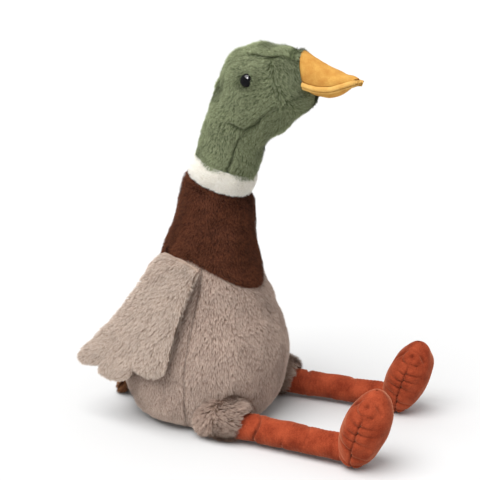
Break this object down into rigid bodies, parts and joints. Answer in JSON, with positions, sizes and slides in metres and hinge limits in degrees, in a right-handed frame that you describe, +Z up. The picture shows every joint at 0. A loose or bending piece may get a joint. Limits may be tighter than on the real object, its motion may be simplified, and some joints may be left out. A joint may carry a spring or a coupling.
{
  "type": "plush duck",
  "caption": "Soft plush mallard that sits on a flat seat, with a round body, green head, felt beak, lobed wings, short tail and velvet legs with upright feet.",
  "frame": {"origin": "centre of the flat seat, on the surface that the duck sits on", "axes": "+Z up, -Y the way the duck faces, +X to the duck's left"},
  "size_m": [0.1768, 0.3088, 0.3523],
  "materials": {
    "taupe_plush": "short grey-brown pile",
    "green_plush": "moss green pile",
    "brown_plush": "dark brown pile",
    "cream_plush": "off-white pile",
    "rust_velvet": "short rust-coloured velvet nap",
    "gold_felt": "flat golden felt",
    "black_plastic": "polished",
    "clear_plastic": "plain moulded",
    "bean_bag": "plain woven bag of pellets",
    "fibre": "loose polyester fibre"
  },
  "bodies": {
    "torso": {"torso_front_panel": "taupe_plush", "torso_left_back_panel": "taupe_plush", "torso_right_back_panel": "taupe_plush", "seat_panel": "taupe_plush", "bean_pouch": "bean_bag", "torso_stuffing": "fibre"},
    "neck": {"chest_sleeve": "brown_plush", "neck_stuffing": "fibre"},
    "ring": {"collar_ring": "cream_plush", "ring_stuffing": "fibre"},
    "head": {"throat_gusset": "green_plush", "crown_gusset": "green_plush", "head_left_panel": "green_plush", "head_right_panel": "green_plush", "head_stuffing": "fibre", "left_eye": "black_plastic", "right_eye": "black_plastic", "left_eye_washer": "clear_plastic", "right_eye_washer": "clear_plastic", "upper_beak_cover": "gold_felt", "upper_beak_stuffing": "fibre", "lower_beak_cover": "gold_felt", "lower_beak_stuffing": "fibre", "mouth_sheet": "gold_felt"},
    "tail": {"tail_upper_panel": "brown_plush", "tail_lower_panel": "brown_plush", "tail_wadding": "fibre"},
    "left_wing": {"left_wing_outer_panel": "taupe_plush", "left_wing_inner_panel": "taupe_plush", "left_wing_wadding": "fibre"},
    "left_thigh": {"left_thigh_cover": "taupe_plush", "left_thigh_stuffing": "fibre"},
    "left_leg": {"left_leg_tube": "rust_velvet", "left_leg_stuffing": "fibre"},
    "left_foot": {"left_foot_sole_panel": "rust_velvet", "left_foot_upper_panel": "rust_velvet", "left_foot_stuffing": "fibre"},
    "right_wing": {"right_wing_outer_panel": "taupe_plush", "right_wing_inner_panel": "taupe_plush", "right_wing_wadding": "fibre"},
    "right_thigh": {"right_thigh_cover": "taupe_plush", "right_thigh_stuffing": "fibre"},
    "right_leg": {"right_leg_tube": "rust_velvet", "right_leg_stuffing": "fibre"},
    "right_foot": {"right_foot_sole_panel": "rust_velvet", "right_foot_upper_panel": "rust_velvet", "right_foot_stuffing": "fibre"}
  },
  "joints": [
    {"name": "neck_lean", "type": "hinge", "parent": "torso", "child": "neck", "pos_m": [0, -0.0141, 0.17], "axis": [1, 0, 0], "range_deg": [-12, 12]},
    {"name": "head_turn", "type": "hinge", "parent": "neck", "child": "ring", "pos_m": [0, -0.0196, 0.233], "axis": [0, -0.3584, 0.9336], "range_deg": [-25, 25]},
    {"name": "head_nod", "type": "hinge", "parent": "ring", "child": "head", "pos_m": [0, -0.0196, 0.233], "axis": [1, 0, 0], "range_deg": [-20, 20]},
    {"name": "tail_lift", "type": "hinge", "parent": "torso", "child": "tail", "pos_m": [0, 0.07697, 0.02571], "axis": [1, 0, 0], "range_deg": [0, 45]},
    {"name": "left_wing_lift", "type": "hinge", "parent": "torso", "child": "left_wing", "pos_m": [0.0525, 0.003, 0.153], "axis": [0.2888, -0.9445, -0.1564], "range_deg": [0, 75]},
    {"name": "left_hip", "type": "hinge", "parent": "torso", "child": "left_thigh", "pos_m": [0.059, -0.05, 0.0212], "axis": [-1, 0, 0], "range_deg": [-60, 35]},
    {"name": "left_leg_splay", "type": "hinge", "parent": "left_thigh", "child": "left_leg", "pos_m": [0.059, -0.05, 0.0212], "axis": [0, 0, 1], "range_deg": [-8, 12]},
    {"name": "left_ankle", "type": "hinge", "parent": "left_leg", "child": "left_foot", "pos_m": [0.0638, -0.1599, 0.0146], "axis": [0.999, 0.0436, 0], "range_deg": [-20, 20]},
    {"name": "right_wing_lift", "type": "hinge", "parent": "torso", "child": "right_wing", "pos_m": [-0.0525, 0.003, 0.153], "axis": [0.2888, 0.9445, 0.1564], "range_deg": [0, 75]},
    {"name": "right_hip", "type": "hinge", "parent": "torso", "child": "right_thigh", "pos_m": [-0.059, -0.05, 0.0212], "axis": [-1, 0, 0], "range_deg": [-60, 35]},
    {"name": "right_leg_splay", "type": "hinge", "parent": "right_thigh", "child": "right_leg", "pos_m": [-0.059, -0.05, 0.0212], "axis": [0, 0, -1], "range_deg": [-8, 12]},
    {"name": "right_ankle", "type": "hinge", "parent": "right_leg", "child": "right_foot", "pos_m": [-0.0638, -0.1599, 0.0146], "axis": [0.999, -0.0436, 0], "range_deg": [-20, 20]}
  ]
}
